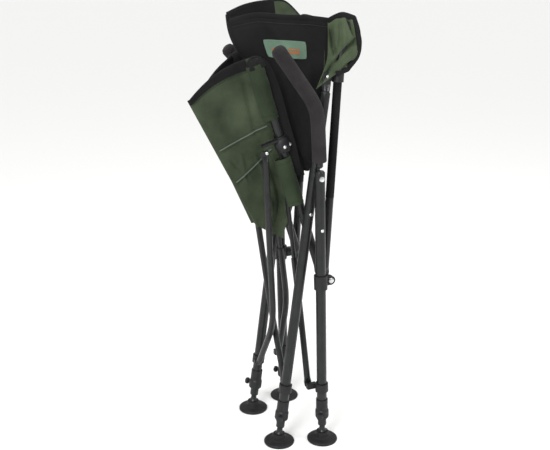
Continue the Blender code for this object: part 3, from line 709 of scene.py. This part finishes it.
def side_trim(side, word):
    """Black band and its bound edge behind the rail, curving in at the front."""
    outer, inner = ([Vector((0.0, along, out)) for along, out in edge] for edge in (BAND_OUTER, BAND_INNER))

    def surface(u, v):
        low, high = along_curve(inner, v), along_curve(outer, v)
        place = low + (high - low) * u
        x = RAIL_X - 0.0005 + 0.006 * u * (1.0 - 0.3 * v)
        return by_rail(side, x, place.y, place.z)

    def lift(u, v):
        return ripple(surface(u, v), 30.0, 0.0012)

    made, _ = cloth(word + "_seat_side_band", surface, (8, 60), 0.0020, [BLACK, BLACK], None, lift,
                    outward=-side)
    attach(made, word + "_seat_rail")
    points = [surface(1.0, k / 50) for k in range(51)]
    normals = [Vector((side, -0.1, 0.1)).normalized()] * 51
    edge = ribbon(word + "_seat_side_binding", points, normals, 0.0052, 0.0036, TAPE)
    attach(edge, word + "_seat_rail")


# ---- backrest -----------------------------------------------------------------------
BACK_GREEN = 0.42            # the rear face is green this far from the upright, then black
RIGHT_RISE = 0.030           # the right half's top edge stands this much higher
RIGHT_WING_DROP = 0.012
TOP_STITCH = 0.0155          # from the top edge to its row of stitches
# the panel's edges on the left side, from the upright to the crease; a top point's fourth
# value is its share of the right half's rise
BACK_TOP = ((0.0830, 0.1370, 1.0580, 0.0), (0.0640, 0.0870, 1.0640, 1.0), (0.0460, 0.0350, 1.0660, 1.0),
            (0.0290, -0.0260, 1.0700, 0.6), (0.0060, -0.0790, 1.0560, 0.5))
BACK_LOW = ((0.0790, 0.1290, 0.9120), (0.0660, 0.1260, 0.8150), (0.0520, 0.0960, 0.7080),
            (0.0360, 0.0240, 0.8500), (0.0060, -0.0390, 0.9700))
# grooves and rolls along the top edge: height, distance below the edge, and width
BACK_GROOVES = ((-0.0026, 0.0120, 0.0020), (0.0024, 0.0060, 0.0040), (-0.0018, 0.0200, 0.0022))
# the panel's soft folds: start, end, width and height
BACK_FOLDS = (((0.70, 0.02), (0.40, 0.30), 0.035, 0.0020), ((0.30, 0.30), (0.38, 0.95), 0.060, 0.0034),
              ((0.50, 0.35), (0.46, 0.92), 0.050, -0.0030))
# the wing's soft folds
WING_FOLDS = (((0.04, 0.08), (0.30, 0.66), 0.055, 0.0130), ((0.30, 0.03), (0.24, 0.60), 0.065, -0.0085),
              ((1.00, 0.30), (0.22, 0.80), 0.055, 0.0150), ((0.30, 0.70), (0.02, 1.00), 0.060, 0.0100),
              ((0.66, 0.00), (0.86, 0.34), 0.060, 0.0100), ((0.52, 0.04), (0.48, 0.55), 0.060, -0.0070),
              ((0.98, 0.58), (0.50, 0.98), 0.055, -0.0085), ((0.90, 0.78), (0.62, 0.90), 0.045, 0.0080))
WING_DEEPEST = -0.0040       # no fold of the wing dips further than this
INNER_WING_TOP, INNER_WING_LOW = 1.052, 0.944
INNER_WING_X = 0.0755


def back_edges(side):
    """Top and bottom edge of the backrest panel, from the upright to the crease."""
    rise = 0.0 if side > 0 else RIGHT_RISE
    return [Vector((x, y, z + rise * share)) for x, y, z, share in BACK_TOP], [Vector(p) for p in BACK_LOW]


def back_surface(side):
    """The backrest's middle layer, from the upright at u = 0 to the crease at u = 1."""
    top, low = back_edges(side)

    def surface(u, v):
        high, base = along_curve(top, u), along_curve(low, u)
        belly = 0.010 * sin(pi * v) * smooth((u - 0.55) / 0.45)
        point = high + (base - high) * v + Vector((0.0, -belly, 0.0))
        return Vector((side * point.x, point.y, point.z))
    return surface


def back_height(side, u):
    """The panel's height at u, so that stitches and grooves keep level with its top edge."""
    top, low = back_edges(side)
    return (along_curve(low, u) - along_curve(top, u)).length


def back_lift(side, surface):
    """How far the panel stands off its smooth surface: ripples, grooves and folds."""
    def lift(u, v):
        depth = v * back_height(side, u)
        height = ripple(surface(u, v) + Vector((side, 0.0, 0.0)), 11.0, 0.0030)
        height += ripple(surface(u, v) + Vector((side, 0.0, 0.0)), 30.0, 0.0008)
        for high, below, width in BACK_GROOVES:
            height += high * exp(-((depth - below) / width) ** 2)
        for fold in BACK_FOLDS:
            height += ridge(u, v, *fold)
        edge = min(u * 9.0, (1.0 - u) * 9.0, v * 9.0, (1.0 - v) * 9.0)
        return height * smooth(edge) - 0.0012 * (1.0 - smooth(edge))
    return lift


def backrest(side, word):
    """One half of the padded backrest, with its bindings and its wing."""
    surface = back_surface(side)
    lift = back_lift(side, surface)
    panel, shares = cloth(word + "_back_panel", surface, (60, 48), PAD_THICK * 0.7,
                          [BLACK, TAPE, GREEN_BACK], lambda u, v: 0 if u < BACK_GREEN else 1, lift,
                          outward=side)
    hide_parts(word + "_back_half")
    upright, crease = word + "_upright", word + "_back_fold"
    carried(panel, shares)

    def lifted(u, v):
        return surface(u, v) + surface_normal(surface, u, v) * side * (lift(u, v) + PAD_THICK * 0.36)

    def top_row(t):
        u = 0.03 + 0.94 * t
        return u, TOP_STITCH / back_height(side, u)

    thread, where = stitches(word + "_back_top_thread", lifted, top_row, 44, outward=side)
    carried(thread, where)
    for name, row in (("top", 0.0), ("low", 1.0)):
        steps = 60
        points = [surface(k / steps, row) for k in range(steps + 1)]
        normals = [surface_normal(surface, k / steps, row) for k in range(steps + 1)]
        edge = ribbon(f"{word}_back_{name}_binding", points, normals, 0.0120, 0.0078, TAPE)
        carried(edge, round_ribbon([k / steps for k in range(steps + 1)]))
    points = [surface(1.0, k / 16) for k in range(17)]
    crease_roll = ribbon(word + "_back_crease", points, [Vector((side, 0.0, 0.0))] * 17, 0.010, 0.0060,
                         BLACK)
    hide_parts(word + "_back_fold_tape")
    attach(crease_roll, crease)
    wing(side, word)
    upright_sleeve(side, word)
    return lifted


# the wing's outline from top to bottom, on the left side
WING_FRONT = [(0.0860, 0.1300, 1.0560), (0.0870, 0.1310, 1.0100), (0.0870, 0.1280, 0.9650),
              (0.0860, 0.1030, 0.9030)]
WING_MIDDLE = [(0.1030, 0.1560, 1.0700), (0.1045, 0.1640, 1.0200), (0.1035, 0.1600, 0.9800),
               (0.1030, 0.1420, 0.9360)]
WING_REAR = [(0.0950, 0.1930, 1.0620), (0.1020, 0.2030, 1.0180), (0.1020, 0.2010, 0.9800),
             (0.0970, 0.1780, 0.9480)]


def wing(side, word):
    """Green cloth gathered round the top of the upright, with a bound outer edge."""
    drop = Vector((0.0, 0.0, RIGHT_WING_DROP if side < 0 else 0.0))
    columns = [[Vector(p) - drop for p in column] for column in (WING_FRONT, WING_MIDDLE, WING_REAR)]

    def surface(u, v):
        point = along_curve([along_curve(column, v) for column in columns], u)
        return Vector((side * point.x, point.y, point.z))

    def lift(u, v):
        height = ripple(surface(u, v) + Vector((side * 0.3, 0.0, 0.0)), 26.0, 0.0030)
        for fold in WING_FOLDS:
            height += ridge(u, v, *fold)
        edge = min(u * 5.0, (1.0 - u) * 8.0, v * 8.0, (1.0 - v) * 5.0)
        return max(height, WING_DEEPEST) * smooth(edge)

    made, _ = cloth(word + "_back_wing", surface, (56, 56), CLOTH_THICK,
                    [GREEN_BACK, GREEN_BACK, GREEN_BACK], None, lift, outward=side)
    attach(made, word + "_upright")
    inner_wing(side, word)
    rim = [surface(k / 20, 0.0) for k in range(21)] + [surface(1.0, k / 24) for k in range(1, 25)]
    rim += [surface(1.0 - k / 20, 1.0) for k in range(1, 10)]
    steps = len(rim)
    points = [along_curve(rim, k / (2 * steps)) for k in range(2 * steps + 1)]
    wobble = [p + Vector((side * ripple(p, 70.0, 0.0015), ripple(p, 60.0, 0.0012), 0.0)) for p in points]
    facing = [Vector((side, 0.15, 0.0)).normalized()] * len(points)
    edge = ribbon(word + "_wing_binding", wobble, facing, 0.0150, 0.0062, TAPE)
    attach(edge, word + "_upright")


def inner_wing(side, word):
    """Inner face of the pocket round the upright."""
    def surface(u, v):
        y = 0.126 + 0.070 * u - 0.012 * v * u
        top = INNER_WING_TOP + 0.010 * sin(pi * u)
        z = top + (INNER_WING_LOW - top) * v
        x = INNER_WING_X + 0.0175 * smooth((u - 0.75) / 0.25) + 0.004 * smooth(1.0 - u * 6.0)
        return Vector((side * x, y, z - (RIGHT_WING_DROP if side < 0 else 0.0)))

    def lift(u, v):
        return ripple(surface(u, v), 24.0, 0.0022) * smooth(min(u * 6.0, (1.0 - u) * 6.0))

    made, _ = cloth(word + "_back_wing_inner", surface, (30, 30), CLOTH_THICK,
                    [GREEN_BACK, GREEN_BACK, GREEN_BACK], None, lift, outward=-side)
    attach(made, word + "_upright")


def upright_sleeve(side, word):
    """Thin black sleeve shrunk on the upright below its sliding bracket."""
    pin = joint_point(word + "_upright_fold")
    up = Vector(JOINTS[word + "_bracket_slide"]["axis"])
    up = up if up.z > 0 else -up
    verts, faces, sides = [], [], 24
    first, second = Vector((1.0, 0.0, 0.0)), up.cross(Vector((1.0, 0.0, 0.0)))
    start, end = UPRIGHT_SLEEVE
    inner, outer = UPRIGHT_R + 0.0001, UPRIGHT_R + 0.0004
    rings = ((start, inner), (start, outer), (end, outer), (end, inner))
    for along, radius in rings:
        verts += [pin + up * along + (first * cos(a) + second * sin(a)) * radius
                  for a in (2.0 * pi * k / sides for k in range(sides))]
    for i in range(len(rings)):
        n = (i + 1) % len(rings)
        faces += [(i * sides + k, i * sides + (k + 1) % sides, n * sides + (k + 1) % sides, n * sides + k)
                  for k in range(sides)]
    made = make(word + "_upright_sleeve", verts, faces, [TAPE])
    tidy_normals(made)
    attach(made, word + "_upright")


# the patch's corners as (y, z): rear top, front top, front low, rear low
BADGE_CORNERS = ((0.086, 1.011), (-0.010, 1.017), (0.003, 0.976), (0.090, 0.970))
BADGE_BARS = ((0.16, 0.44, 0.46), (0.56, 0.84, 0.46), (0.16, 0.84, 0.64))   # start, end and row
BAR_HIGH = 0.09
PANEL_SIZE = (0.21, 0.28)    # the panel's rough run in y and in z, for stepping towards a point


def badge(lifted):
    """Sewn patch on the left half of the backrest, plain but for three bars."""
    def rounded(a, b):
        """The unit square with its corners rounded."""
        x, y = 2.0 * a - 1.0, 2.0 * b - 1.0
        return 0.5 + 0.5 * x * sqrt(1.0 - 0.09 * y ** 6), 0.5 + 0.5 * y * sqrt(1.0 - 0.12 * x ** 6)

    def surface(u, v):
        a, b = rounded(u, v)
        return lifted(*panel_place(a, b))

    @lru_cache(maxsize=None)
    def panel_place(a, b):
        """(u, v) of the panel under a point of the patch."""
        rear_top, front_top, front_low, rear_low = BADGE_CORNERS
        y, z = ((rear_top[n] * (1 - a) + front_top[n] * a) * (1 - b)
                + (rear_low[n] * (1 - a) + front_low[n] * a) * b for n in (0, 1))
        u, v = 0.4, 0.3
        for _ in range(14):
            found = lifted(u, v)
            u = min(max(u + (found.y - y) / PANEL_SIZE[0], 0.02), 0.98)
            v = min(max(v + (found.z - z) / PANEL_SIZE[1], 0.02), 0.98)
        return u, v

    def lift(u, v):
        rim = min(u * 2.2, (1.0 - u) * 2.2, v, 1.0 - v)
        return 0.0008 + 0.0007 * exp(-((rim - 0.05) / 0.035) ** 2)

    made, shares = cloth("left_badge", surface, (40, 24), 0.0012, [PATCH, PATCH, PATCH], None, lift)
    shares = [panel_place(share, 0.5)[0] for share in shares]
    carried(made, shares)
    for k, (start, end, row) in enumerate(BADGE_BARS):
        def bar(u, v, start=start, end=end, row=row):
            return surface(start + (end - start) * u, row + BAR_HIGH * v)

        mark, shares = cloth(f"left_badge_bar_{k + 1}", bar, (14, 4), 0.0008, [PATCH_MARK] * 3, None,
                             lambda u, v: 0.0016)
        shares = [panel_place(start + (end - start) * share, 0.5)[0] for share in shares]
        carried(mark, shares)


# ---- fittings --------------------------------------------------------------------------
SHELL_X, SHELL_OUT, SHELL_ALONG = 0.0180, 0.0195, 0.0195      # the hub shell's half sizes
SHELL_SHIFT = (0.0035, 0.002)               # its middle outward of the rail, and up the rail from the hub
SHELL_SQUARE = 0.55                         # 1 would make it an ellipsoid, less makes it boxier
HUB_RIVETS = ((0.0020, 0.0212), (-0.0135, 0.0150))      # forward of the rail, and outward of it
LEG_RIVETS = (("front_tube", "front_leg", 0.607), ("rear_tube", "rear_leg", 0.573))     # with their heights


def hub_shell(side, word):
    """Rounded moulding round the strut hub."""
    centre = PIN + RAIL_DIR * (HUB_AT + SHELL_SHIFT[1])
    verts, faces, around, up = [], [], 32, 16
    for i in range(up + 1):
        rise = -pi / 2.0 + pi * i / up
        for k in range(around):
            turn = 2.0 * pi * k / around
            flat = abs(cos(rise)) ** SHELL_SQUARE
            x = SHELL_X * flat * cos(turn)
            out = SHELL_OUT * flat * sin(turn)
            along = SHELL_ALONG * sin(rise)
            place = centre + RAIL_DIR * along + RAIL_OUT * out
            verts.append(Vector((side * (RAIL_X + SHELL_SHIFT[0] + x), place.y, place.z)))
    for i in range(up):
        for k in range(around):
            m = (k + 1) % around
            faces.append((i * around + k, i * around + m, (i + 1) * around + m, (i + 1) * around + k))
    faces += [tuple(range(around)), tuple(up * around + k for k in range(around))]
    made = make(word + "_hub_shell", verts, faces, [NYLON])
    tidy_normals(made)
    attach(made, word + "_seat_rail")


def fittings(side, word):
    """Hub shell and rivet heads of the folding frame."""
    out = Vector((side, 0.0, 0.0))
    hub_shell(side, word)
    hub_centre = PIN + RAIL_DIR * HUB_AT
    for k, (shift, depth) in enumerate(HUB_RIVETS):
        spot = Vector((side * (RAIL_X + depth), hub_centre.y, hub_centre.z)) + RAIL_OUT * shift
        head = dome(f"{word}_hub_rivet_{k + 1}", spot, out, RIVET_R, RIVET_HIGH)
        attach(head, word + "_seat_rail")
    bolt = hub_centre + RAIL_OUT * HUB_BOLT
    bolt.x = side * (STRUT_TOP_X + 0.0026)
    other = "right" if side > 0 else "left"
    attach(dome(word + "_hub_bolt", bolt, out, 0.0044, RIVET_HIGH), other + "_front_strut")
    for tube, body, height in LEG_RIVETS:
        spot, radius = tube_centre(f"{word}_{tube}", height)
        head = dome(f"{word}_{body}_rivet", spot + out * (radius - 0.0004), out, RIVET_R, RIVET_HIGH)
        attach(head, f"{word}_{body}")
    tip = top_of(word + "_front_tube")
    tip = tip - (tip - joint_point(word + "_scissor")).normalized() * 0.010
    spot = Vector((side * (abs(tip.x) + 0.0021), tip.y, tip.z))
    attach(dome(word + "_slider_rivet", spot, out, 0.0046, 0.0028), word + "_front_leg")


def tube_centre(node_name, height):
    """Centre and radius of a leg tube at a height, on the line between its two ends."""
    verts = [v.co for v in frame["nodes"][node_name].data.vertices]
    low_z, high_z = min(v.z for v in verts), max(v.z for v in verts)
    below = [v for v in verts if v.z < low_z + 0.02]
    above = [v for v in verts if v.z > high_z - 0.06]
    start, end = sum(below, Vector()) / len(below), sum(above, Vector()) / len(above)
    t = (height - start.z) / (end.z - start.z)
    low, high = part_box(node_name)
    return start + (end - start) * t, (high.x - low.x) / 2


# ---- camera, floor, light -------------------------------------------------------------
CAMERA_PLACE = Vector((1.769, -0.711, 1.145))
CAMERA_TURN, CAMERA_DOWN = 67.1, 17.0
CAMERA_SENSOR, CAMERA_LENS = 36.0, 52.36
FLOOR_SIZE = 300.0
WORLD_LIGHT = 0.64
KEY_PLACE, KEY_POWER, KEY_SPREAD = (1.5, -1.9, 2.6), 1.80, 28.0
# soft lamps: place, size and power
LAMPS = (("rim", (1.4, 2.0, 2.0), 0.9, 26.0), ("top", (0.2, 0.0, 3.2), 1.6, 22.0),
         ("front", (1.8, -1.8, 1.2), 0.8, 16.0))
LAMP_AIM = Vector((0.0, 0.0, 0.6))


def studio():
    """Camera, pale floor and soft light."""
    data = bpy.data.cameras.new("camera")
    data.sensor_width, data.lens = CAMERA_SENSOR, CAMERA_LENS
    camera = bpy.data.objects.new("camera", data)
    camera.location = CAMERA_PLACE
    camera.rotation_euler = (radians(90.0 - CAMERA_DOWN), 0.0, radians(CAMERA_TURN))
    bpy.context.scene.collection.objects.link(camera)
    bpy.context.scene.camera = camera

    floor = make_floor(FLOOR_SIZE)
    world = bpy.data.worlds.new("studio")
    bpy.context.scene.world = world
    world.use_nodes = True
    sky = world.node_tree.nodes["Background"]
    sky.inputs["Color"].default_value = (1.0, 1.0, 1.0, 1.0)
    sky.inputs["Strength"].default_value = WORLD_LIGHT
    for name, place, size, power in LAMPS:
        lamp = bpy.data.lights.new(name, 'AREA')
        lamp.shape, lamp.size, lamp.energy = 'DISK', size, power
        aim_lamp(lamp, place)
    key = bpy.data.lights.new("key", 'SUN')
    key.energy, key.angle = KEY_POWER, radians(KEY_SPREAD)
    aim_lamp(key, KEY_PLACE)
    bpy.context.scene.view_settings.view_transform = 'Standard'


def aim_lamp(lamp, place):
    made = bpy.data.objects.new(lamp.name, lamp)
    made.location = place
    aim = LAMP_AIM - Vector(place)
    made.rotation_euler = aim.to_track_quat('-Z', 'Y').to_euler()
    bpy.context.scene.collection.objects.link(made)


def make_floor(size):
    material = new_material("floor_pale", (0.92, 0.92, 0.91), 0.9)
    bpy.ops.mesh.primitive_plane_add(size=size, location=(0.0, 0.0, -0.0005))
    floor = bpy.context.active_object
    floor.name = "floor"
    floor.data.materials.append(material)
    return floor


finish_cad_nodes()
for side_sign, side_word in SIDES:
    seat_half(side_sign, side_word)
    lifted_back = backrest(side_sign, side_word)
    if side_sign > 0:
        badge(lifted_back)
    fittings(side_sign, side_word)
studio()
